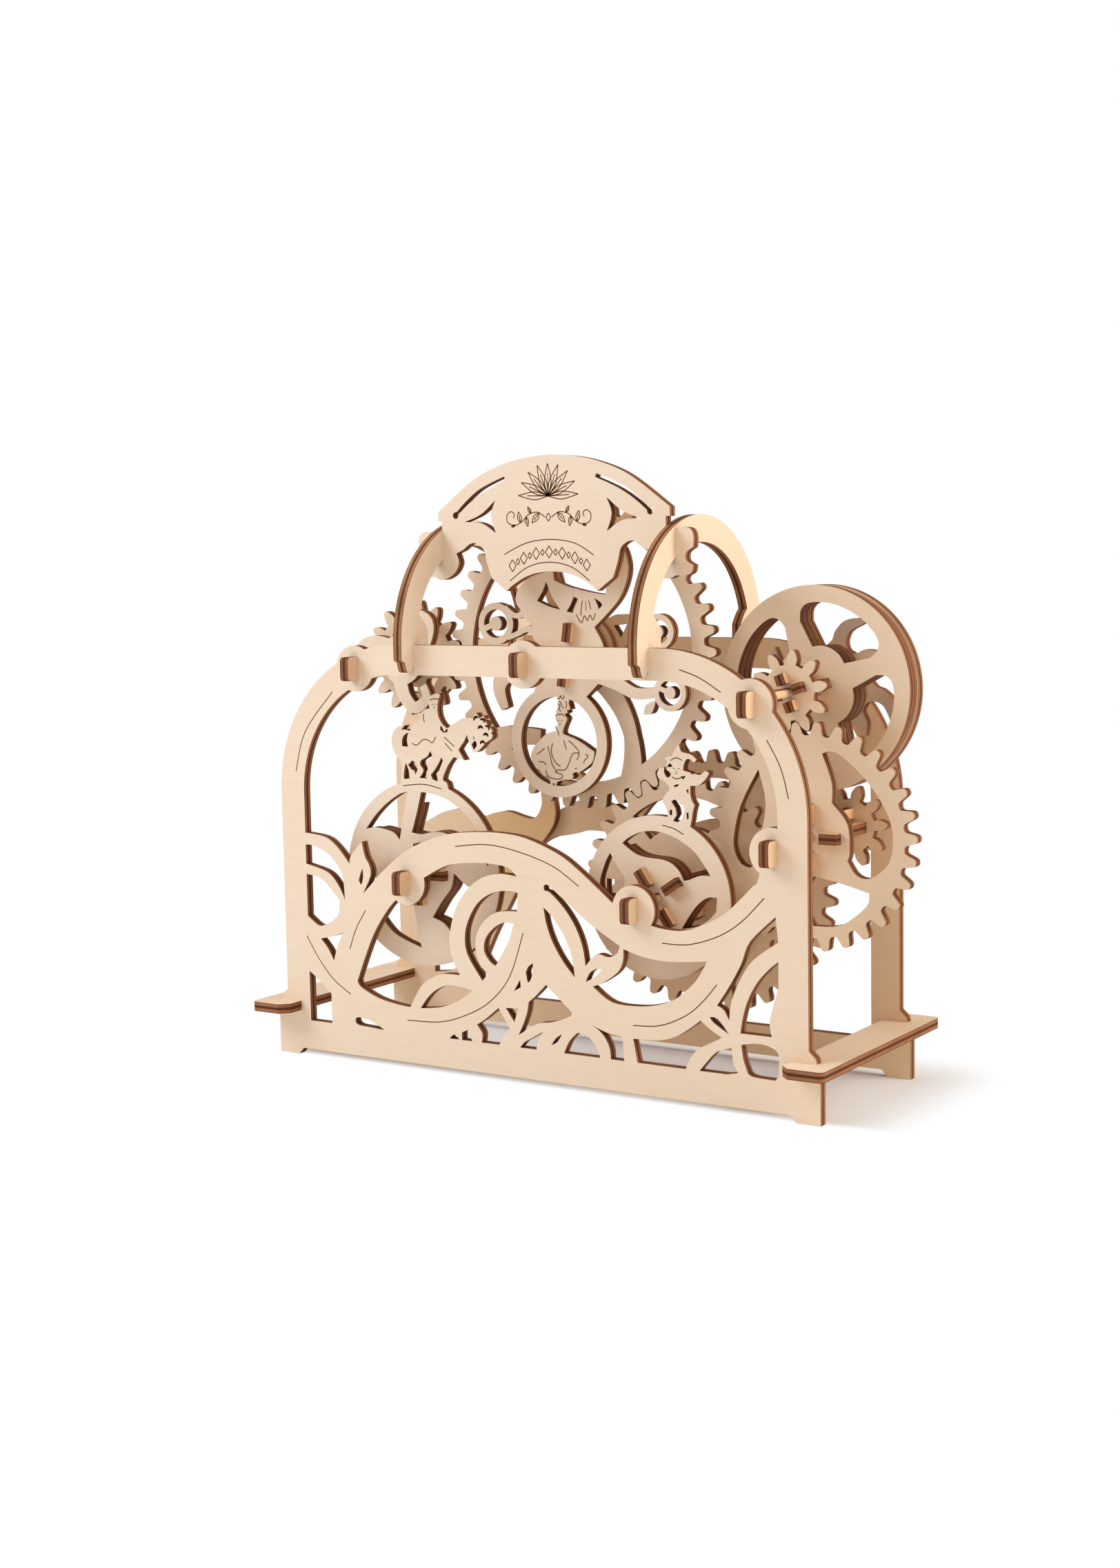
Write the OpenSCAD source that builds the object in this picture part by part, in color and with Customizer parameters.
/* [Sheet] */
// Thickness of the plywood
ply = 3.2; // [3.1:0.05:3.3]

/* [Frame] */
// Width across the posts
post_span = 196; // [194:0.5:197]
// Width across the feet
foot_span = 203.6; // [202:0.5:206]
// Height of the top bar
bar_top = 139.2; // [138:0.2:140]
// Depth of the top bar and of the arches
bar_depth = 9.7; // [9:0.1:10.5]
// Outer radius of the corner arches
arch_r = 49.3; // [47:0.5:51]
// Clear space between the two panels
panel_gap = 61.1; // [61:0.1:63]
// Height of the bottom rail's upper edge
rail_top = 12; // [11:0.25:12.5]
// Height of the relief between the feet
foot_lift = 2.2; // [1.5:0.1:3]
// Length of each foot
foot_len = 8; // [7:0.5:10]

/* [Side shelves] */
// Height of a shelf's underside
slat_z = 15.2; // [15:0.1:16]
// Width of a shelf
slat_w = 14.4; // [13:0.2:16]
// Overhang of a shelf before and behind the panels
slat_over = 8.7; // [7:0.1:10]
// Overhang of a shelf past the foot
slat_out = 4.9; // [4:0.1:6]

/* [Hoops and sign] */
// Outer radius of a hoop
hoop_r = 40; // [39.6:0.1:41]
// Width of a hoop's band
hoop_band = 8.5; // [8:0.1:9]
// Height of the hoop's centre
hoop_z = 139; // [138.5:0.1:139.5]
// Half distance between the hoops' inner faces
hoop_half = 41.9; // [41.5:0.1:42.5]
// Height of the sign's crown
sign_top = 198.5; // [197:0.5:201]
// Front face of the sign
sign_y = 17.5; // [17:0.1:17.8]

/* [Gears] */
// Tooth module, pitch diameter per tooth
tooth_m = 2.2; // [2.18:0.01:2.22]
// Height of a tooth above the pitch circle
addendum = 1.9; // [1.7:0.05:2]
// Depth of a tooth below the pitch circle
dedendum = 2.45; // [2.35:0.05:2.6]
// Play between meshing teeth on the pitch circle
backlash = 0.6; // [0.5:0.05:0.8]
// Pressure angle of the teeth
press_angle = 25; // [23:0.5:26]

/* [Axles] */
// Diameter of the round axles
axle_d = 3; // [2.8:0.05:3.2]
// Radial clearance between axle and bore
run_gap = 0.05; // [0.03:0.01:0.09]
// Height of the flat tenons at the axle ends
tenon_h = 7.8; // [7:0.1:8.5]
// Length of a tenon in front of the panel
tenon_out = 5.5; // [4.5:0.1:6.5]
// Radius of a boss on the panel
boss_r = 7.5; // [7.2:0.1:8]

/* [Wheels] */
// Outer radius of the flywheel rings
fly_r = 31.9; // [31:0.1:32]
// Outer radius of the jester's wheel
jester_r = 25.7; // [25:0.1:26.5]
// Outer radius of the rider's wheel
rider_r = 30.6; // [30:0.1:31]
// Radius of the hand wheel's long rays
sun_r = 23.2; // [21:0.2:25]
// Radial depth of a key
key_depth = 6; // [5.6:0.1:6.4]
// Distance of a deep key from the axle's centre
key_in = 4.2; // [4:0.1:4.4]
// Distance of a shallow key from the axle's centre
peg_in = 2.7; // [2.6:0.05:2.8]

/* [Hidden] */
$fn = 96;
eps = 0.01;
wood = "#e6cfa6";
wood_b = "#dcc197";
wood_c = "#c9a877";

// Tooth counts
n_carousel = 44;
n_transfer = 32;
n_jester = 37;
n_drive = 30;
n_pinion = 10;
n_corner = 16;

// Planes: front faces of the sheets, measured back from the front panel's face
y_rear = ply + panel_gap;
y_rider = 9.3;
y_jester = 14.8;
y_carousel = 26.4;
y_drive = 25;
y_big = 33;
y_ring = 40.8;
y_fly = 42.1;
y_second = 52.2;
y_sun = 55.4;
y_scroll = 25.6;

// Axle places (x, z): the carousel's and the rider's are set, the others follow from the teeth in mesh
function out(a, ang, r) = a + r * [cos(ang), sin(ang)];
function mesh_at(a, ang, n1, n2) = out(a, ang, tooth_m * (n1 + n2) / 2);
to_jester = -62.42;
to_drive = 23.25;
to_fly = 99.02;
to_corner = 182;
crown_x = 0.2;
A_C = [0.3, 135.15];
A_J = mesh_at(A_C, to_jester, n_carousel, n_transfer);
A_R = [-47, 63.6];
A_D = mesh_at(A_J, to_drive, n_jester, n_pinion);
A_F = mesh_at(A_D, to_fly, n_drive, n_pinion);
A_U = mesh_at(A_C, to_corner, n_carousel, n_corner);
AXLES = [A_C, A_J, A_R, A_D, A_F, A_U];

// Middle of the object: between the left shelf's edge and the drive gear's teeth, and between the panels
slat_x = foot_span / 2 + slat_out;
x_mid = (A_D.x + tooth_m * n_drive / 2 + addendum - slat_x) / 2;
mid_y = (y_rear + ply) / 2;

// Turn of the second gear's first tooth that puts it in mesh with the first gear
function mesh_turn(ang, turn, n1, n2) = ang + 180 - 360 / n2 * (0.5 - (ang - turn) * n1 / 360);
turn_big = 1.3;
turn_corner = mesh_turn(to_corner, turn_big, n_carousel, n_corner);
turn_transfer = mesh_turn(to_jester, turn_big, n_carousel, n_transfer);
turn_jester = 4;
turn_pinion = mesh_turn(to_drive, turn_jester, n_jester, n_pinion);
turn_drive = 2;
turn_fly = mesh_turn(to_fly, turn_drive, n_drive, n_pinion);

// Curves
function spline(a, b, c, d, t) = 0.5 * (2 * b + (c - a) * t + (2 * a - 5 * b + 4 * c - d) * t * t
  + (3 * b - 3 * c + d - a) * t * t * t);
// Smooth line through points, without its last point
function side(p, n = 4) = len(p) == 2 ? [p[0]] : [for (i = [0 : len(p) - 2]) for (k = [0 : n - 1])
  spline(p[max(i - 1, 0)], p[i], p[i + 1], p[min(i + 2, len(p) - 1)], k / n)];
// The same outline, running anticlockwise
function area(p, i = 0) = i == len(p) ? 0 : cross(p[i], p[(i + 1) % len(p)]) + area(p, i + 1);
function ccw(p) = area(p) < 0 ? [for (i = [len(p) - 1 : -1 : 0]) p[i]] : p;
// Closed outline made of smooth sides that meet at corners
function loop(sides, n) = let (z = sides[len(sides) - 1], e = z[len(z) - 1])
  concat([for (s = sides) each side(s, n)], e == sides[0][0] ? [] : [e]);
module cut(sides, n = 4) polygon(ccw(loop(sides, n)));
// Closed smooth outline without corners
module blob(p, n = 4) polygon(ccw([for (i = [0 : len(p) - 1]) for (k = [0 : n - 1])
  let (m = len(p)) spline(p[(i + m - 1) % m], p[i], p[(i + 1) % m], p[(i + 2) % m], k / n)]));
function unit(v) = v / max(norm(v), eps);
function left_of(q, i) = let (v = unit(q[min(i + 1, len(q) - 1)] - q[max(i - 1, 0)])) [-v.y, v.x];
// Band along a smooth line, w0 wide at its start, w1 in the middle and w2 at its end
module band(p, w0, w1, w2, n = 4) {
  q = concat(side(p, n), [p[len(p) - 1]]);
  m = len(q) - 1;
  w = [for (i = [0 : m]) i < m / 2 ? w0 + (w1 - w0) * 2 * i / m : w1 + (w2 - w1) * (2 * i / m - 1)];
  polygon(concat([for (i = [0 : m]) q[i] - left_of(q, i) * w[i] / 2],
    [for (i = [m : -1 : 0]) q[i] + left_of(q, i) * w[i] / 2]));
}
// Arc of points round a centre
function arc(c, r, a0, a1, n = 12) = [for (k = [0 : n]) out(c, a0 + (a1 - a0) * k / n, r)];
module mirrored() { children(); mirror([1, 0]) children(); }

// Sheets
// The origin lies under the middle of the whole object
module place() translate([-x_mid, -mid_y, 0]) children();
// Upright sheet across the width, drawn as (x, z), with its front face at y
module sheet(y) place() translate([0, y + ply, 0]) rotate([90, 0, 0]) linear_extrude(ply) children();
// Upright sheet across the depth, drawn as (y, z), with its left face at x
module side_sheet(x) place() translate([x, 0, 0]) rotate([90, 0, 90]) linear_extrude(ply) children();
module at(a) translate(a) children();

// Gear teeth
function roll(r, rb) = sqrt(max(pow(r / rb, 2) - 1, 0)) * 180 / PI - acos(min(rb / r, 1));
function tooth(n) = let (
    rp = tooth_m * n / 2, rb = rp * cos(press_angle), tip = rp + addendum, root = rp - dedendum,
    start = max(rb, root), soft = 0.4, half = (90 - backlash / 4 / tooth_m * 2 / PI * 180) / n,
    rs = [for (k = [0 : 3]) start + (tip - soft - start) * k / 3],
    hs = [for (r = rs) half + roll(rp, rb) - roll(r, rb)],
    ht = hs[3] - soft / tip * 180 / PI,
    rr = concat([root], rs, [tip]), hh = concat([hs[0]], hs, [ht]))
  concat([for (k = [0 : 5]) [rr[k], -hh[k]]], [for (k = [5 : -1 : 0]) [rr[k], hh[k]]]);
module gear_2d(n, turn) polygon([for (i = [0 : n - 1]) for (t = tooth(n))
  out([0, 0], turn + i * 360 / n + t.y, t.x)]);
module bore() circle(d = axle_d + 2 * run_gap, $fn = 48);
module ring(ro, ri) difference() { circle(ro); circle(ri); }
// Sockets for keys at the given angles
module sockets(angs, r0, depth) for (a = angs) rotate(a) translate([r0, -ply / 2]) square([depth, ply]);
// Keys: strips on edge whose outline is given as distance from the axle and depth
module keys(a, angs, outline) place() for (t = angs) translate([a.x, 0, a.y]) rotate([0, -t, 0])
  translate([0, 0, -ply / 2]) linear_extrude(ply) polygon(outline);
quarters = [0, 90, 180, 270];
function turned(a) = [for (q = quarters) q + a];
key_out = key_in + key_depth;
peg_out = peg_in + ply;

// Frame panels
half_post = post_span / 2;
half_foot = foot_span / 2;
arch_x = half_post - arch_r;
arch_z = bar_top - arch_r;
module arch_shape(inset) {
  x = half_post - inset;
  r = arch_r - inset;
  translate([-x, foot_lift]) square([2 * x, arch_z - foot_lift]);
  mirrored() translate([arch_x, arch_z]) intersection() { circle(r); square(r + 1); }
  translate([-arch_x, arch_z - 1]) square([2 * arch_x, r + 1]);
}
module panel_outline() {
  difference() { arch_shape(0); arch_shape(bar_depth); }
  // Rail with its two feet
  translate([-half_foot, foot_lift]) square([foot_span, rail_top - foot_lift]);
  mirrored() {
    polygon([[half_foot, 0], [half_foot, slat_z], [half_post - 1, slat_z], [half_post - 1, foot_lift],
      [half_foot - foot_len - 2, foot_lift], [half_foot - foot_len, 0]]);
    // Catch over the shelf
    polygon([[half_post - 1, slat_z + ply], [half_foot - 1.1, slat_z + ply],
      [half_foot - 1.6, slat_z + ply + 1.6], [half_post, slat_z + ply + 3.6], [half_post - 1, slat_z + 8]]);
  }
}
module bosses() for (a = AXLES) at(a - [0, axle_drop]) circle(boss_r);
axle_drop = 1.6;
module tenon_slots() for (a = AXLES) at(a - [ply / 2, tenon_h / 2 + axle_drop]) square([ply, tenon_h]);
module hoop_notches() for (s = [-1, 1])
  translate([crown_x + s * (hoop_half + ply / 2) - ply / 2, bar_top - hoop_bite]) square([ply, boss_r]);
hoop_bite = 4.8;
edge = half_post - bar_depth + 0.3;

// Leaves and waves between the posts of the front panel
module front_scenery() cut([
  [[-edge, rail_top], [-edge, 76]],
  [[-edge, 76], [-80, 75], [-75, 72], [-70, 66.7]],
  [[-70, 66.7], [-69.5, 69], [-67, 72], [-64.7, 74.3]],
  [[-64.7, 74.3], [-63.5, 69.5], [-61.7, 66.5], [-61.5, 63], [-64.7, 57]],
  [[-64.7, 57], [-61, 60.5], [-57, 64.5], [-48, 71.5], [-40, 75.5], [-30, 78.7], [-20, 80], [-10, 80.3],
    [0, 79.2], [12, 75], [20, 70], [32, 60.7]],
  [[32, 60.7], [36, 58], [44, 55.3]],
  [[44, 55.3], [50, 54.3], [57, 54.5], [65, 57.5], [71, 61], [76, 65.5], [80, 69.5], [82, 72], [84, 84]],
  [[84, 84], [edge, 84]],
  [[edge, 84], [edge, rail_top]]]);
module front_openings() {
  // Left leaves
  cut([[[-88.5, 72], [-85, 71.8], [-80, 70], [-76, 67], [-73, 62], [-72.3, 53.8]],
    [[-72.3, 53.8], [-73, 56], [-76, 60.5], [-80, 63.5], [-88.5, 65.5]], [[-88.5, 65.5], [-88.5, 72]]]);
  cut([[[-88.5, 62], [-84, 61.5], [-80, 59.5], [-76.5, 56], [-74.5, 54]],
    [[-74.5, 54], [-75, 50], [-77, 47.5], [-81, 45.3], [-84, 45], [-88.5, 48]], [[-88.5, 48],
      [-88.5, 62]]]);
  cut([[[-83, 40.5], [-78, 41.6], [-73.3, 43.3]], [[-73.3, 43.3], [-76, 38.5], [-77.7, 33.4]],
    [[-77.7, 33.4], [-80, 37.3], [-83, 40.5]]]);
  cut([[[-88.7, 12], [-88.7, 29.3]], [[-88.7, 29.3], [-84, 26], [-79.2, 22]], [[-79.2, 22], [-79.2, 12]],
    [[-79.2, 12], [-88.7, 12]]]);
  cut([[[-57, 11.8], [-62, 14.2], [-68, 15.2], [-69.3, 13.9], [-68, 12.6], [-62, 12.2], [-57, 11.8]]]);
  cut([[[-66.3, 61.3], [-65.3, 60], [-64.5, 62.5], [-64.6, 65.5]], [[-64.6, 65.5], [-65.6, 63.5],
    [-66.3, 61.3]]]);
  // Large window under the left wave
  cut([[[-50.7, 56.5], [-55, 52], [-60, 45], [-64, 37], [-68, 27.5]],
    [[-68, 27.5], [-66.5, 25.5], [-60, 22.7], [-53, 21.3], [-46.5, 20.7]],
    [[-46.5, 20.7], [-42, 28], [-38, 31], [-33, 33], [-26.3, 33.2]],
    [[-26.3, 33.2], [-29.7, 40], [-30, 46], [-27.5, 54.5], [-23, 61], [-17, 65.5], [-10, 67.3],
      [-3.5, 66.8]],
    [[-3.5, 66.8], [-7, 69.5], [-15, 70.3], [-25, 69.7], [-32, 68], [-41.5, 63]],
    [[-41.5, 63], [-42, 60], [-43, 57], [-47, 55], [-50.7, 56.5]]]);
  // Spiral in the middle
  cut([[[-3.3, 61.7], [-8, 62], [-14, 60.5], [-19, 57], [-22.5, 51.5], [-24, 46], [-23, 40], [-17.5, 32.2]],
    [[-17.5, 32.2], [-15.5, 34.5]],
    [[-15.5, 34.5], [-18.5, 38], [-20, 43], [-19, 48], [-16, 52], [-11, 55], [-3.7, 55.7]],
    [[-3.7, 55.7], [-3.3, 61.7]]]);
  cut([[[-5, 51.7], [-9, 51.7], [-13, 49.5], [-16, 46], [-16.6, 42], [-14.5, 38.8], [-12.3, 37.5]],
    [[-12.3, 37.5], [-10, 41], [-7, 46], [-5, 51.7]]]);
  cut([[[-42.3, 20.8], [-39, 25], [-35, 28], [-30, 29.6], [-21.5, 28.7]],
    [[-21.5, 28.7], [-27, 24.8], [-34, 22], [-42.3, 20.8]]]);
  cut([[[-5.5, 30], [-3, 34]], [[-3, 34], [-2.8, 31.5]], [[-2.8, 31.5], [-5.5, 30]]]);
  // Small gaps over the rail
  cut([[[-31, 12], [-29, 13.5], [-27, 12]], [[-27, 12], [-31, 12]]]);
  cut([[[-26, 12], [-26, 14.5]], [[-26, 14.5], [-23.5, 15.7]], [[-23.5, 15.7], [-22, 12]], [[-22, 12],
    [-26, 12]]]);
  cut([[[-18.3, 12], [-18, 15], [-20, 17.7]], [[-20, 17.7], [-16.5, 20], [-11.5, 24]],
    [[-11.5, 24], [-9.5, 21], [-7.3, 17.8]], [[-7.3, 17.8], [-9.8, 15], [-11.5, 12]], [[-11.5, 12],
      [-18.3, 12]]]);
  cut([[[-8.7, 24.3], [-4, 24.5]], [[-4, 24.5], [-5.5, 20]], [[-5.5, 20], [-8.7, 24.3]]]);
  cut([[[-3.5, 12], [-2, 13.8], [0, 15], [5.3, 18]], [[5.3, 18], [3.3, 15], [2.7, 12]], [[2.7, 12],
    [-3.5, 12]]]);
  cut([[[13, 12], [15, 16], [18, 19]], [[18, 19], [20, 19], [23, 17.5], [25.5, 14.5], [26.3, 12]],
    [[26.3, 12], [13, 12]]]);
  cut([[[8.3, 14], [10, 16.4], [12.3, 18]], [[12.3, 18], [11, 15.6], [8.3, 14]]]);
  cut([[[30.2, 12], [29.8, 15.5], [28, 18.8], [25, 21.3], [18.5, 24]],
    [[18.5, 24], [28, 20.5], [34.5, 19.5]], [[34.5, 19.5], [35, 12]], [[35, 12], [30.2, 12]]]);
  cut([[[38.3, 19.4], [47, 19.8], [53, 21.5], [58, 24.5], [62, 27.5]],
    [[62, 27.5], [65.5, 25], [69.3, 23]],
    [[69.3, 23], [64.5, 20.5], [61, 18.5], [58.3, 15.5], [56.7, 12]], [[56.7, 12], [39.8, 12]],
    [[39.8, 12], [38.3, 19.4]]]);
  cut([[[61.3, 11.8], [64, 15], [67.5, 18.5], [72.5, 20.3]], [[72.5, 20.3], [73, 16], [74.5, 12.8]],
    [[74.5, 12.8], [68, 11.6], [61.3, 11.8]]]);
  cut([[[75.8, 21.5], [80, 22.4], [84, 22.3], [87, 21.3]], [[87, 21.3], [88.3, 19.5], [88.3, 14], [87, 12]],
    [[87, 12], [80, 12.2], [78, 13]], [[78, 13], [76.5, 17], [75.8, 21.5]]]);
  // Middle wave and leaves
  cut([[[6.7, 33.2], [10, 30.5], [16, 25.5]], [[16, 25.5], [15.5, 24], [9, 21.5], [3, 20.3], [-4, 16]],
    [[-4, 16], [-2, 20], [-0.5, 24], [0, 27]], [[0, 27], [3, 29.5], [6.7, 33.2]]]);
  cut([[[2, 39.7], [1.5, 35.5], [0, 33.3], [-0.8, 36.5]], [[-0.8, 36.5], [0.2, 38.4], [2, 39.7]]]);
  cut([[[6.6, 64.6], [8, 65], [12, 62.2], [17, 58.5], [24, 53.5], [34, 47.8]],
    [[34, 47.8], [33, 45.5], [30, 44], [25.5, 44.5], [21.5, 40.5]],
    [[21.5, 40.5], [20.5, 46.5], [18, 52.5], [14, 58], [9, 62.5], [6.8, 63.2], [6.6, 64.6]]]);
  cut([[[6.3, 57.8], [10, 54.5], [14, 49], [16.5, 43], [17.5, 36.5]],
    [[17.5, 36.5], [13, 41.5], [9.5, 47], [7.3, 52.5], [6.3, 57.8]]]);
  cut([[[21.5, 35.5], [23, 38.5], [25.5, 40]], [[25.5, 40], [27.5, 40]], [[27.5, 40], [25, 37.5],
    [21.5, 35.5]]]);
  cut([[[24, 34.3], [28, 36], [33, 39.5], [35, 43], [35.3, 47]],
    [[35.3, 47], [42, 45.2], [50, 44.5], [58, 45], [64.5, 45.8]],
    [[64.5, 45.8], [61, 40], [57, 36], [53, 33], [48, 31], [41, 29.7], [31, 30], [24, 34.3]]]);
  // Right leaves
  cut([[[87.5, 61], [79, 53], [76, 46], [72, 39], [67.7, 32.7]], [[67.7, 32.7], [70, 31.5], [71.8, 28.5]],
    [[71.8, 28.5], [72.5, 34], [75.5, 41], [80, 47.5], [88.3, 53.5]], [[88.3, 53.5], [87.5, 61]]]);
  cut([[[65.2, 29], [68, 28.5], [71.7, 24.3]], [[71.7, 24.3], [66.5, 27.3], [65.2, 29]]]);
  cut([[[88.3, 47.7], [85, 45], [81, 40.5], [78, 35], [76.3, 29.5], [75.5, 25]], [[75.5, 25], [86, 25]],
    [[86, 25], [85.4, 30], [88.3, 40]], [[88.3, 40], [88.3, 47.7]]]);
}
module front_panel() color(wood) sheet(0) difference() {
  union() {
    panel_outline();
    difference() { front_scenery(); front_openings(); }
    bosses();
  }
  tenon_slots();
  hoop_notches();
}
// Rear panel: a wave carries the rider's boss, and an arm reaches on to the jester's
module rear_scenery() {
  cut([[[-edge, rail_top], [-edge, 70.5]],
    [[-edge, 70.5], [-83, 73.5], [-77.8, 76], [-71, 77.6], [-65, 76.2], [-59.9, 75.2], [-54, 77.3],
      [-49.6, 77.7], [-44, 76.3], [-39.6, 75.8], [-31, 78.4], [-26, 80.6], [-20, 83.2], [-12, 83.2],
        [-4, 80.8],
      [8, 75], [20, 69], [32, 66.5]],
    [[32, 66.5], [40, 63], [38, 55], [30, 53.5]],
    [[30, 53.5], [18, 59], [6, 66], [-6, 72], [-16, 73], [-23, 71.3], [-31, 69.6], [-37, 66], [-43, 57],
      [-50, 45], [-57, 33], [-62, 22], [-64, rail_top]],
    [[-64, rail_top], [-edge, rail_top]]]);
  // Tie between the drive axle's boss and the post
  translate([A_D.x, A_D.y - boss_r]) square([half_post - 1 - A_D.x, 2 * boss_r - 2 * axle_drop]);
}
module rear_openings() cut([
  [[-83, 62], [-75, 67.5], [-66, 69], [-59, 65]],
  [[-59, 65], [-57, 55], [-64, 42], [-71, 28]], [[-71, 28], [-74, 20], [-83, 18]], [[-83, 18], [-83, 62]]]);
module rear_panel() color(wood) sheet(y_rear) difference() {
  union() {
    panel_outline();
    difference() { rear_scenery(); rear_openings(); }
    bosses();
  }
  tenon_slots();
  hoop_notches();
}
// S-shaped wave laid on the rear panel, with a curl at its upper end
module rear_wave() color(wood_b) sheet(y_rear - ply) difference() {
  cut([[[-63.5, 70], [-57.7, 75.7], [-51.8, 77.8], [-47.5, 78.2], [-41.7, 76.8], [-37.5, 76.3],
    [-35.1, 78.1],
      [-33.6, 81.8], [-33.8, 86], [-32.6, 90.6], [-29, 94], [-23.5, 95], [-18, 92.8], [-14.6, 89.6]],
    [[-14.6, 89.6], [-18.5, 90.4], [-23.5, 90.8], [-27.4, 88.4], [-28.7, 84], [-28.1, 78.5], [-29.6, 73.6],
      [-34.2, 67.9], [-40, 60.5], [-46, 55]],
    [[-46, 55], [-54, 54], [-60.5, 60], [-63.5, 70]]]);
  at(A_R) bore();
}

// Side shelves, notched round the posts
slat_back = y_rear + ply + slat_over;
module slat() translate([0, 0, slat_z]) linear_extrude(ply) difference() {
  polygon(concat([[slat_x - slat_w + 3, -slat_over], [slat_x - slat_w, -slat_over + 3]],
    [[slat_x - slat_w, slat_back - 3], [slat_x - slat_w + 3, slat_back]],
    arc([slat_x - 2, slat_back - 2], 2, 90, 0, 6), arc([slat_x - 2, 2 - slat_over], 2, 0, -90, 6)));
  for (y = [0, y_rear]) translate([half_post - slat_w, y]) square([slat_w, ply]);
}
module left_slat() color(wood_b) place() mirror([1, 0, 0]) slat();
module right_slat() color(wood_b) place() slat();

// Hoops over both bars
hoop_in = hoop_r - hoop_band;
foot_reach = 8.2;
sign_slot_z = sign_top - 27.5;
module hoop_half_2d() difference() {
  union() {
    intersection() { ring(hoop_r, hoop_in); translate([-hoop_r - 1, 0]) square([hoop_r + 1, hoop_r + 1]); }
    // Leg, foot and inner pad
    cut([[[-hoop_r, 0], [-hoop_r, -4.5]], [[-hoop_r, -4.5], [-hoop_r + 1.6, -5.2]],
      [[-hoop_r + 1.6, -5.2], [-hoop_r + 2.6, -8], [-hoop_r + 4.4, -8.5], [-mid_y, -6.6]],
      [[-mid_y, -6.6], [-mid_y, -4]], [[-mid_y, -4], [ply - mid_y, -4]],
      [[ply - mid_y, -4], [ply - mid_y, -7], [ply - mid_y + 1.5, -8.5], [foot_reach - mid_y - 1.4, -7.8],
        [foot_reach - mid_y, -5]],
      [[foot_reach - mid_y, -5], [foot_reach - mid_y, 5]],
      [[foot_reach - mid_y, 5], [foot_reach - mid_y - 2.4, 8], [-hoop_in * cos(18), hoop_in * sin(18)]],
      [[-hoop_in * cos(18), hoop_in * sin(18)], [-hoop_r + 1, 8]], [[-hoop_r + 1, 8], [-hoop_r, 0]]]);
  }
  // Notch that straddles the bar
  translate([-mid_y, -hoop_r]) square([ply, hoop_r + bar_top - hoop_bite - hoop_z]);
}
module hoop(x) side_sheet(x) difference() {
  translate([mid_y, hoop_z]) { hoop_half_2d(); mirror([1, 0]) hoop_half_2d(); }
  translate([sign_y, hoop_z]) square([ply, sign_slot_z - hoop_z]);
}
module left_hoop() color(wood_b) hoop(crown_x - hoop_half - ply);
module right_hoop() color(wood_b) hoop(crown_x + hoop_half);

// Sign with its tabs through the hoops
// Drawn as distance from the middle and drop below the crown, and stretched to reach the hoops
sign_span = 41.9;
function sign_pts(p) = [for (q = p) [q.x * hoop_half / sign_span, sign_top - q.y]];
module sign_cut(sides) cut([for (p = sides) sign_pts(p)]);
module sign_half() difference() {
  sign_cut([
    [[0, 36.5], [0, 0]], [[0, 0], [10, 0.8], [20, 3.2], [30, 7.6], [43.3, 17.1]],
    [[43.3, 17.1], [43.3, 23.5]], [[43.3, 23.5], [49.3, 23.5], [51.3, 25.5], [51.3, 29.5]],
    [[51.3, 29.5], [48.9, 31.1], [48.9, 33.5], [51.3, 34.9]],
    [[51.3, 34.9], [50.7, 37.1], [48.7, 38], [45.1, 38]],
    [[45.1, 38], [42.9, 39], [40, 38.5], [37, 36.5], [35.5, 33.5], [36.5, 30.5]],
    [[36.5, 30.5], [34, 29.5]], [[34, 29.5], [30, 27.2], [26, 29], [24.6, 33.5], [22.8, 38.5]],
    [[22.8, 38.5], [17, 42.7]], [[17, 42.7], [15, 41], [10, 38.3], [5, 36.9], [0, 36.5]]]);
  // Slot with a round end, three-sided opening, and the slot for the hoop
  band(sign_pts([[36.2, 18.1], [32, 14.5], [27, 11.1], [22, 8.8], [17, 6.9]]), 1, 1.6, 1.2);
  translate(sign_pts([[36.4, 18.3]])[0]) circle(1.1, $fn = 24);
  sign_cut([[[33, 20.5], [26.5, 18.1], [20.8, 13.7]], [[20.8, 13.7], [22.6, 18.7], [20.8, 24.2]],
    [[20.8, 24.2], [26.4, 20.9], [33, 20.5]]]);
  translate([hoop_half, sign_slot_z]) square([ply, boss_r]);
}
module sign_plate() color(wood) sheet(sign_y) translate([crown_x, 0]) mirrored() sign_half();

// Axles: a flat tenon at each end, round between the panels
tenon_round = 1.5;
// Side view of a tenon, its outer end at y0
module tenon_2d(y0, y1) {
  s = sign(y1 - y0);
  h = tenon_h / 2;
  polygon(ccw(concat([[y1, -h], [y1, h]],
    [for (k = [0 : 6]) [y0 + s * tenon_round * (1 - sin(15 * k)), h - tenon_round * (1 - cos(15 * k))]],
    [for (k = [6 : -1 : 0]) [y0 + s * tenon_round * (1 - sin(15 * k)), -h + tenon_round * (1 - cos(15 *
      k))]])));
}
module axle(a) {
  side_sheet(a.x - ply / 2) translate([0, a.y - axle_drop]) {
    tenon_2d(-tenon_out, ply);
    tenon_2d(y_rear + 2 * ply, y_rear);
  }
  place() translate([a.x, ply, a.y]) rotate([-90, 0, 0]) cylinder(d = axle_d, h = panel_gap, $fn = 48);
}
module carousel_axle() color(wood_c) axle(A_C);
module jester_axle() color(wood_c) axle(A_J);
module rider_axle() color(wood_c) axle(A_R);
module drive_axle() color(wood_c) axle(A_D);
module flywheel_axle() color(wood_c) axle(A_F);
module corner_axle() color(wood_c) axle(A_U);

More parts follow.
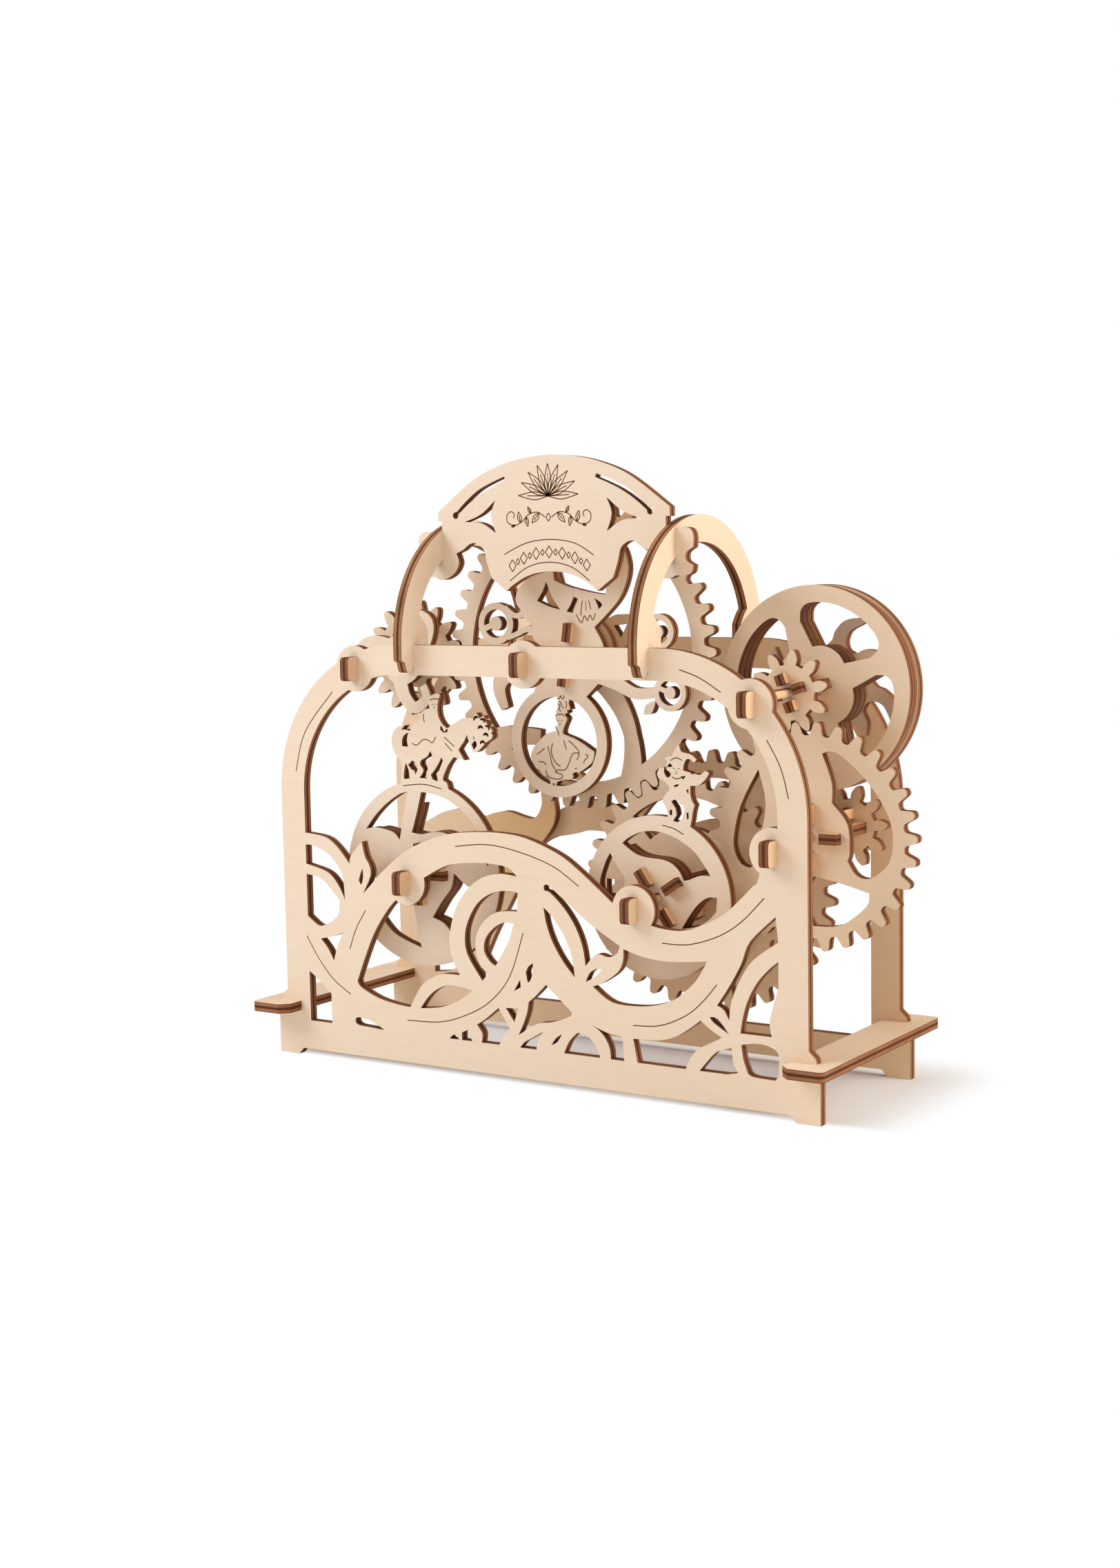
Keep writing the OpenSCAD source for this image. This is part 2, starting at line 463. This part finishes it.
// Carousel
c_angs = turned(82);
module big_gear() color(wood_b) sheet(y_big) at(A_C) difference() {
  union() {
    difference() { gear_2d(n_carousel, turn_big); circle(41.8); }
    circle(13);
    // Arms, a short leaf from the rim, and a hooked leaf on the left
    intersection() {
      circle(43);
      union() {
        band([[9.5, -9.5], [15.4, -17.2], [18.9, -26], [19.4, -36], [17.5, -45]], 7, 5, 9);
        band([[-15.5, -27.6], [-21, -27.4], [-28, -28], [-36, -31]], 5, 6, 11);
        band([[-4, 9], [-10, 22], [-11, 34], [-6, 45]], 8, 6, 10);
        for (s = [-1, 1]) band([[9 * s, -2.2], [25 * s, -2.2], [45 * s, -2.2]], 7, 6.6, 7);
      }
    }
    band([[-10, -3], [-21, -4], [-29, -7], [-31.5, -12], [-29.3, -18.5]], 7, 6.5, 3);
  }
  bore();
  sockets(c_angs, key_in, key_depth);
}
// Snail curl: a ring with a ball on a short neck inside it
module curl(c, r, a) at(c) rotate(a) {
  ring(r, 0.68 * r);
  circle(0.34 * r);
  translate([0, -0.14 * r]) square([0.8 * r, 0.28 * r]);
}
// Drawn in the panel's place, round the dancer's ring at its lower end
ring_c = [-3.9, 107.2];
ring_r = 18.2;
module dancer() {
  // Skirt, bodice, raised head and crown, with the hair behind
  cut([[[-8.5, 92.3], [-11.5, 94.3], [-14.6, 98], [-14.8, 103], [-13.2, 106.6], [-10, 108.6],
    [-7, 110.4], [-5.4, 110.6]],
    [[-5.4, 110.6], [-4.2, 112.6], [-5, 114.8], [-4.4, 116.2], [-5.6, 117.2], [-5, 119.4], [-3.6, 120.4]],
    [[-3.6, 120.4], [-4.2, 122.2]], [[-4.2, 122.2], [-2.8, 121.4]], [[-2.8, 121.4], [-2.2, 123.2]],
    [[-2.2, 123.2], [-1.2, 121.2]], [[-1.2, 121.2], [0.6, 121.4]],
    [[0.6, 121.4], [0.2, 119.4], [1.4, 117.4], [0.4, 115.2], [0.8, 113], [-0.6, 111], [-0.4, 109.8]],
    [[-0.4, 109.8], [3, 108.5], [7, 105.8], [10.8, 103.8]],
    [[10.8, 103.8], [9.2, 101.2], [7.2, 98.6], [4.2, 96.4], [1, 94.9], [-2, 94.2], [-5, 93.2],
      [-8.5, 92.3]]]);
}
module carousel_front() color(wood) sheet(y_carousel) difference() {
  union() {
    at(ring_c) ring(ring_r, ring_r - 3.85);
    dancer();
    // Shoulders, hub and the half moon to the right
    cut([[[-13, 121.6], [-12.5, 124.4], [-9.4, 127.6]], [[-9.4, 127.6], [-10.2, 133], [-11.2, 138.4]],
      [[-11.2, 138.4], [-13.4, 141.5], [-13, 147], [-16.6, 148.6], [-19.4, 152], [-18.6, 156],
        [-16, 158.6]],
      [[-16, 158.6], [-14, 161.4], [-9, 163], [-5.4, 162.4], [-4.6, 159]],
      [[-4.6, 159], [0, 157.2], [5, 156], [10, 155], [14.6, 154.4]],
      [[14.6, 154.4], [15.2, 157], [17.4, 160.4]], [[17.4, 160.4], [18, 163.6], [19.2, 166.4],
        [20.3, 170.4]],
      [[20.3, 170.4], [22, 168], [23.2, 163], [22.2, 158], [19.6, 153], [15.2, 148.4], [10.3, 144.1]],
      [[10.3, 144.1], [13.4, 138.6], [13.9, 133], [13, 127.6]], [[13, 127.6], [6.6, 121.6]],
      [[6.6, 121.6], [0, 123.4], [-6, 123.6], [-13, 121.6]]]);
    // Locks of hair and curls
    band([[-12, 145], [-16, 148], [-20, 147.6], [-24, 150.4]], 3, 1.8, 1.6);
    band([[-11, 141.6], [-15, 143.4], [-19, 141.8], [-23, 140.4]], 3, 1.8, 1.6);
    curl([-27.5, 145], 6.8, 200);
    band([[12, 134], [20, 133.4], [27, 135.4], [32, 139]], 6, 4, 3);
    curl([33.6, 142.8], 5.6, 250);
    band([[12, 129], [18, 126.6], [25, 123.4], [32.8, 123.8]], 6, 4, 3);
    curl([37.6, 123.8], 5.8, 160);
    cut([[[32.6, 121.5], [29, 119.8], [28, 116.8]], [[28, 116.8], [31, 117.4], [32.6, 121.5]]]);
  }
  // Gaps round the upper dancer's skirt and arm
  cut([[[-11.2, 152.4], [-9, 155.6], [-7.6, 158.6]], [[-7.6, 158.6], [-5.6, 154], [-2.4, 149.6]],
    [[-2.4, 149.6], [-6.6, 150.6], [-11.2, 152.4]]]);
  cut([[[0, 149], [1.6, 151.4], [2.8, 153.8]], [[2.8, 153.8], [4.4, 153]], [[4.4, 153], [3, 150.4],
    [2.4, 148.6]],
    [[2.4, 148.6], [0, 149]]]);
  cut([[[10.4, 153.4], [11.4, 151.6], [12, 149.8]], [[12, 149.8], [13.4, 151.4], [10.4, 153.4]]]);
  at(A_C) { bore(); sockets(c_angs, key_in, key_depth); }
}
module carousel_rear() color(wood) sheet(y_ring) at(A_C) difference() {
  union() {
    circle(12);
    // Pointed blades with a small window
    for (a = turned(35)) rotate(a) difference() {
      polygon([[8, -6.5], [14.7, -4.8], [22, 0], [14.7, 4.8], [8, 6.5]]);
      polygon([[12, -2.4], [16.5, 0], [12, 2.4]]);
    }
  }
  bore();
  sockets(c_angs, key_in, key_depth);
}
c_key_y = 23.9;
module carousel_keys() color(wood_c)
  keys(A_C, c_angs, [[key_in, c_key_y], [key_out, c_key_y], [key_out, y_ring + 2 * ply],
    [key_in, y_ring + 2 * ply]]);

// Rider
r_angs = quarters;
// Openings round the spokes, drawn from the axle
module rider_windows() {
  cut([[[-22.8, 13.6], [-19, 18.2], [-14, 22.6], [-8.5, 26], [-5.2, 26.8]],
    [[-5.2, 26.8], [-7, 20], [-9, 10.6]],
    [[-9, 10.6], [-11, 12.7], [-14, 13.7], [-19, 14.3], [-22.8, 13.6]]]);
  cut([[[-4, 13.4], [-1.8, 20], [0.2, 27]],
    [[0.2, 27], [6, 26.4], [12, 24.4], [17.5, 20.7], [21.5, 16.3], [24.8, 10.6], [26.4, 4]],
    [[26.4, 4], [22, 7.5], [16, 11.5], [9, 14], [4, 13.9], [0, 13], [-4, 13.4]]]);
  cut([[[-1, -24.8], [-3, -24.2], [-8, -22.6], [-13, -20.2], [-18, -15], [-21.8, -9.5], [-24, -3]],
    [[-24, -3], [-20, -2.5], [-14, -5], [-8, -9], [-3.6, -11.4]],
    [[-3.6, -11.4], [-3.4, -13.5], [-2.6, -17], [-2.3, -21], [-1, -24.8]]]);
  cut([[[12.6, 1], [11.6, -3.6], [9, -7], [7, -9.4], [3.7, -14.3]],
    [[3.7, -14.3], [8, -15.8], [11, -19], [11.6, -23.6]],
    [[11.6, -23.6], [17, -20], [22, -13.5], [25, -5]], [[25, -5], [18, -3], [12.6, 1]]]);
}
// Horse with a rider, drawn in the panel's place
module rider_figure() difference() {
  cut([[[-55.2, 91], [-54.6, 96], [-54.8, 100.4], [-57.2, 103.2], [-58.3, 106.6], [-57.5, 110],
    [-55.3, 111.8],
      [-52.4, 112.3]],
    [[-52.4, 112.3], [-50.6, 111.6], [-49.3, 112.8], [-46.6, 114.6]],
    [[-46.6, 114.6], [-47, 118], [-46, 122.6], [-45.4, 126.6], [-44, 128.4]],
    [[-44, 128.4], [-46, 130.4], [-45.6, 133.2], [-43, 134], [-40.6, 133], [-40, 130.6], [-41.2, 128.4]],
    [[-41.2, 128.4], [-38.2, 126.6], [-38, 123.5], [-39.3, 119.5], [-39.2, 116], [-37.8, 113.4],
      [-35.8, 111.8]],
    [[-35.8, 111.8], [-33, 113.4], [-29.5, 115.2], [-25.6, 115.6]], [[-25.6, 115.6], [-24.2, 117.2]],
    [[-24.2, 117.2], [-23, 115.4]], [[-23, 115.4], [-21.4, 116.4]],
    [[-21.4, 116.4], [-20.4, 114.2], [-18.6, 112.4], [-17.4, 110.2], [-18.8, 108.8], [-20.8, 107.6],
      [-22.6, 105.8],
      [-24.6, 104.5], [-25.9, 104.8], [-26.6, 106.8], [-27.4, 108.3]],
    [[-27.4, 108.3], [-28, 109.9]], [[-28, 109.9], [-29.2, 107.8], [-30.4, 106.4], [-31.4, 105]],
    [[-31.4, 105], [-29.2, 101.7]],
    [[-29.2, 101.7], [-33.4, 102.6]], [[-33.4, 102.6], [-35.6, 100], [-37.2, 97.2], [-37.9, 95],
      [-36.3, 94], [-35.6, 91]],
    [[-35.6, 91], [-55.2, 91]]]);
  // Gaps between the legs and inside the tail
  cut([[[-47.3, 95.2], [-44.2, 95.2]], [[-44.2, 95.2], [-44.5, 97], [-43.8, 98.5], [-44.5, 100.5],
    [-42, 102.5], [-42.8, 104.2]],
    [[-42.8, 104.2], [-44, 102.4], [-46.5, 101], [-46.8, 99.5], [-45.6, 97.7], [-47.3, 95.2]]]);
  cut([[[-41.9, 95.5], [-40.3, 94.6]], [[-40.3, 94.6], [-40.4, 96.5], [-37.9, 101.4]],
    [[-37.9, 101.4], [-39.4, 99.6], [-41.9, 95.5]]]);
  cut([[[-53.7, 94.6], [-51.3, 94.8]], [[-51.3, 94.8], [-51.6, 97.5], [-52.7, 100]],
    [[-52.7, 100], [-53.4, 97.5], [-53.7, 94.6]]]);
  blob([[-51, 99.2], [-49.9, 100], [-48.6, 99], [-48.4, 97.7], [-49.6, 98.2]]);
  cut([[[-54, 105.4], [-51.6, 105.3]], [[-51.6, 105.3], [-52, 107.5], [-51.4, 110]],
    [[-51.4, 110], [-53, 109.2], [-54, 107.5], [-54, 105.4]]]);
}
module rider_wheel() color(wood) sheet(y_rider) difference() {
  union() {
    at(A_R) difference() { circle(rider_r); rider_windows(); }
    rider_figure();
  }
  at(A_R) { bore(); sockets(r_angs, key_in, key_depth); }
}
// Second sheet that doubles the hub and the spokes
module rider_spokes() color(wood_b) sheet(y_rider + ply) at(A_R) difference() {
  circle(rider_r - 7.6);
  rider_windows();
  bore();
  sockets(r_angs, key_in, key_depth);
}
r_key_y = 6.6;
module rider_keys() color(wood_c)
  keys(A_R, r_angs, [[key_in, r_key_y], [key_out, r_key_y], [key_out, y_rider + 3 * ply],
    [key_in, y_rider + 3 * ply]]);

// Jester
j_angs = turned(34);
module jester_windows() {
  cut([[[-12.5, 16.4], [-10, 18.3], [-6, 20.1], [-1, 20.8], [4, 20], [9, 17.9], [14, 14.4], [18.8, 8]],
    [[18.8, 8], [15, 7.8], [11, 6.2], [9.3, 6]],
    [[9.3, 6], [8, 8.5], [5.5, 10.8], [2, 12], [-3, 12.3], [-7, 13], [-10, 14.6], [-12.5, 16.4]]]);
  cut([[[-17, 13], [-19, 9.5], [-21, 3], [-19, -1], [-16, -3.4]],
    [[-16, -3.4], [-13.4, 0.6], [-11.8, 5], [-14.6, 9], [-17, 13]]]);
  cut([[[21, 1.4], [17.6, 1.2], [14, -1.4], [11, -5.2], [8.4, -9.2]],
    [[8.4, -9.2], [14, -8], [18, -5.6], [20.6, -3]], [[20.6, -3], [21, 1.4]]]);
}
// Jester in a horned cap, drawn in the panel's place
module jester_figure() difference() {
  cut([[[42.4, 85], [43, 87.2], [42.4, 89.4], [41.2, 91.4], [42.2, 93.4], [43.8, 95]],
    [[43.8, 95], [43.2, 96.4], [41.6, 97.6], [40, 98.2]],
    [[40, 98.2], [39.4, 99.8], [40.4, 101.5], [42, 101.7]], [[42, 101.7], [41.9, 100.2], [43, 98.7],
      [44.2, 99.4], [44.4, 100.4]],
    [[44.4, 100.4], [42.9, 101], [42.7, 102.6], [43.2, 103.6]], [[43.2, 103.6], [42, 104.8]],
    [[42, 104.8], [44.4, 105.4], [45.4, 106.8], [47.2, 109.2]],
    [[47.2, 109.2], [47.9, 107], [49.6, 106.5], [51.6, 106], [53.4, 104.6]],
    [[53.4, 104.6], [52.4, 103.6]], [[52.4, 103.6], [51, 104.6], [49.8, 104.6], [48.8, 102.8],
      [48.6, 101.1]],
    [[48.6, 101.1], [50.4, 100.7], [52.8, 100.2], [54.6, 100], [56.2, 101.3]],
    [[56.2, 101.3], [57.5, 100.7], [56.6, 99], [54.8, 97.3], [53, 96.6], [51.1, 96.5]],
    [[51.1, 96.5], [51, 94], [51.6, 91.9], [52.5, 90.6]], [[52.5, 90.6], [51.8, 88.4], [51.4, 86],
      [50.6, 83]],
    [[50.6, 83], [42.4, 85]]]);
  cut([[[44.7, 91.4], [46.2, 91.7], [47.2, 90.8], [48.6, 90.2], [48.2, 88.8], [48.6, 87.8]],
    [[48.6, 87.8], [47.4, 86.9], [46.6, 85.6], [45.4, 85.8]], [[45.4, 85.8], [46.6, 87.4], [46.2, 89.2],
      [44.7, 91.4]]]);
}
module jester_wheel() color(wood) sheet(y_jester) difference() {
  union() {
    at(A_J) difference() { circle(jester_r); jester_windows(); }
    jester_figure();
  }
  at(A_J) { bore(); sockets(j_angs, key_in, key_depth); }
}
module jester_spokes() color(wood_b) sheet(y_jester + ply) at(A_J) difference() {
  circle(jester_r - 6.4);
  jester_windows();
  bore();
  sockets(j_angs, key_in, key_depth);
}
// Three openings inside a gear's rim, the first round the given angle
module rim_windows(mid, half, r_in, r_out) for (k = [0 : 2]) rotate(mid + k * 120)
  polygon(concat(arc([0, 0], r_out, -half, half), arc([0, 0], r_in, half, -half)));
module transfer_gear() color(wood_b) sheet(y_big) at(A_J) difference() {
  gear_2d(n_transfer, turn_transfer);
  bore();
  sockets(j_angs, key_in, key_depth);
  rim_windows(94, 37, 20, 29.6);
}
module jester_gear() color(wood_b) sheet(y_second) at(A_J) difference() {
  gear_2d(n_jester, turn_jester);
  bore();
  sockets(j_angs, key_in, key_depth);
  rim_windows(115, 34, 20, 33.6);
}
j_key_y = 12;
module jester_keys() color(wood_c) keys(A_J, j_angs,
  [[key_in, j_key_y], [key_out, j_key_y], [key_out, y_second + 2 * ply], [key_in, y_second + 2 * ply]]);

// Drive
d_key_y = 22;
module drive_gear() color(wood) sheet(y_drive) at(A_D) difference() {
  gear_2d(n_drive, turn_drive);
  bore();
  sockets(quarters, key_in, key_depth);
  cut([[[-17.4, 19.9], [-23.5, 8.7], [-26.1, -1.5], [-25.5, -6.6], [-23.5, -9.7]],
    [[-23.5, -9.7], [-19.5, -10], [-16.6, 0], [-15, 10], [-17.4, 19.9]]]);
  cut([[[4.1, 25.5], [7.2, 16.9], [7.2, 10.7]], [[7.2, 10.7], [12.3, 4.6], [13, -3.6], [12.3, -6.6]],
    [[12.3, -6.6], [15.3, -10.7], [19.9, -11.2], [25.6, -6.6], [27.1, 0.5], [25.6, 7.7], [20.4, 15.8],
      [14.3, 22],
      [8.2, 26.1], [4.1, 25.5]]]);
  cut([[[1, -11.8], [10, -13.4], [19.4, -15.8]], [[19.4, -15.8], [18.4, -19.9], [10.2, -26.1], [1, -27.1]],
    [[1, -27.1], [-3, -19.4], [1, -11.8]]]);
}
module drive_pinion() color(wood_c) sheet(y_second) at(A_D) difference() {
  gear_2d(n_pinion, turn_pinion);
  bore();
  sockets(quarters, peg_in, ply);
}
// Deep through the gear, shallow through the pinion
module drive_keys() color(wood_c) keys(A_D, quarters,
  [[key_in, d_key_y], [key_out, d_key_y], [key_out, y_drive + 2 * ply],
  [peg_out, y_drive + 3 * ply], [peg_out, y_second + 2 * ply], [peg_in, y_second + 2 * ply],
  [peg_in, y_drive + 2 * ply], [key_in, y_drive + ply]]);

// Flywheel
f_angs = turned(20);
module flywheel_pinion() color(wood_c) sheet(y_drive) at(A_F) difference() {
  gear_2d(n_pinion, turn_fly);
  bore();
  sockets(f_angs, peg_in, ply);
}
function polar(r, a) = out([0, 0], a, r);
// Opening between two spokes, with rounded outer corners
module fly_window() {
  rim = fly_r - 5;
  cut([[polar(13, -27), polar(21.3, -37.6)],
    [polar(21.3, -37.6), polar(rim - 2.2, -35), polar(rim - 0.4, -28), polar(rim, -14), polar(rim, 0),
      polar(rim, 14),
      polar(rim - 0.4, 28), polar(rim - 2.2, 35), polar(21.3, 37.6)],
    [polar(21.3, 37.6), polar(13, 27)],
      [polar(13, 27), polar(13.6, 14), polar(13.8, 0), polar(13.6, -14), polar(13, -27)]]);
}
module fly_ring(y, r) sheet(y) at(A_F) difference() {
  circle(r);
  for (a = quarters) rotate(a + 65) fly_window();
  bore();
  sockets(f_angs, peg_in, ply);
}
module flywheel_front_ring() color(wood) fly_ring(y_fly, fly_r);
module flywheel_middle_ring() color(wood_c) fly_ring(y_fly + ply, fly_r - 0.7);
module flywheel_rear_ring() color(wood) fly_ring(y_fly + 2 * ply, fly_r);
// Hand wheel shaped as a sun, with long and short curved rays
module sun_wheel() color(wood) sheet(y_sun) at(A_F) difference() {
  union() {
    circle(12.4);
    for (a = quarters) rotate(a - 8) cut([
      [[10.5, -5], [13.5, -2.6], [17.5, -3.2], [20.4, -7], [sun_r - 1.6, -9]],
      [[sun_r - 1.6, -9], [sun_r - 1, -5.4], [20.6, -1], [17, 1.6], [14, 2.4], [10.5, 6]], [[10.5, 6],
        [10.5, -5]]]);
    for (a = quarters) rotate(a + 42) cut([[[10.5, -3], [14, -2.4], [sun_r - 4.4, -2]],
      [[sun_r - 4.4, -2], [16, 1.2], [13, 2.2], [10.5, 4]], [[10.5, 4], [10.5, -3]]]);
  }
  bore();
  sockets(f_angs, peg_in, ply);
}
module flywheel_keys() color(wood_c) keys(A_F, f_angs, [[peg_in, d_key_y], [peg_out, d_key_y],
  [peg_out, y_sun + 1.5 * ply], [peg_in, y_sun + 1.5 * ply]]);

// Corner wheel
module corner_gear() color(wood_b) sheet(y_big) at(A_U) difference() {
  gear_2d(n_corner, turn_corner);
  bore();
  sockets(quarters, peg_in, ply);
  // Bent slot and a notched opening, repeated above the axle
  for (a = [0, 180]) rotate(a) {
    cut([[[-9.9, -6.2], [-7.9, -8.9], [-5.1, -10.5], [-1.6, -11.6], [1.6, -11.8]],
      [[1.6, -11.8], [1.1, -9.9]], [[1.1, -9.9], [-0.7, -9.7], [-4.1, -8.4], [-6.4, -6.1]],
        [[-6.4, -6.1], [-9.9, -6.2]]]);
    cut([[[4.6, -7.8], [5.1, -10.5]], [[5.1, -10.5], [7.4, -9.8], [9.6, -6.6]], [[9.6, -6.6],
      [5.5, -6.8], [4.6, -7.8]]]);
  }
}
module corner_scroll() color(wood) {
  sheet(y_scroll) at(A_U) difference() {
    union() {
      circle(8.5);
      for (a = [20, 140, 260]) rotate(a) band([[6, 0], [12, 3], [15, 8], [11, 12], [7, 10]], 6, 4, 3);
    }
    bore();
  }
  keys(A_U, quarters, [[peg_in, y_scroll + ply], [peg_out, y_scroll + ply], [peg_out, y_big + 1.5 * ply],
    [peg_in, y_big + 1.5 * ply]]);
}

front_panel();
rear_panel();
rear_wave();
left_slat();
right_slat();
left_hoop();
right_hoop();
sign_plate();
carousel_axle();
jester_axle();
rider_axle();
drive_axle();
flywheel_axle();
corner_axle();
big_gear();
carousel_front();
carousel_rear();
carousel_keys();
rider_wheel();
rider_spokes();
rider_keys();
jester_wheel();
jester_spokes();
transfer_gear();
jester_gear();
jester_keys();
drive_gear();
drive_pinion();
drive_keys();
flywheel_pinion();
flywheel_front_ring();
flywheel_middle_ring();
flywheel_rear_ring();
sun_wheel();
flywheel_keys();
corner_gear();
corner_scroll();
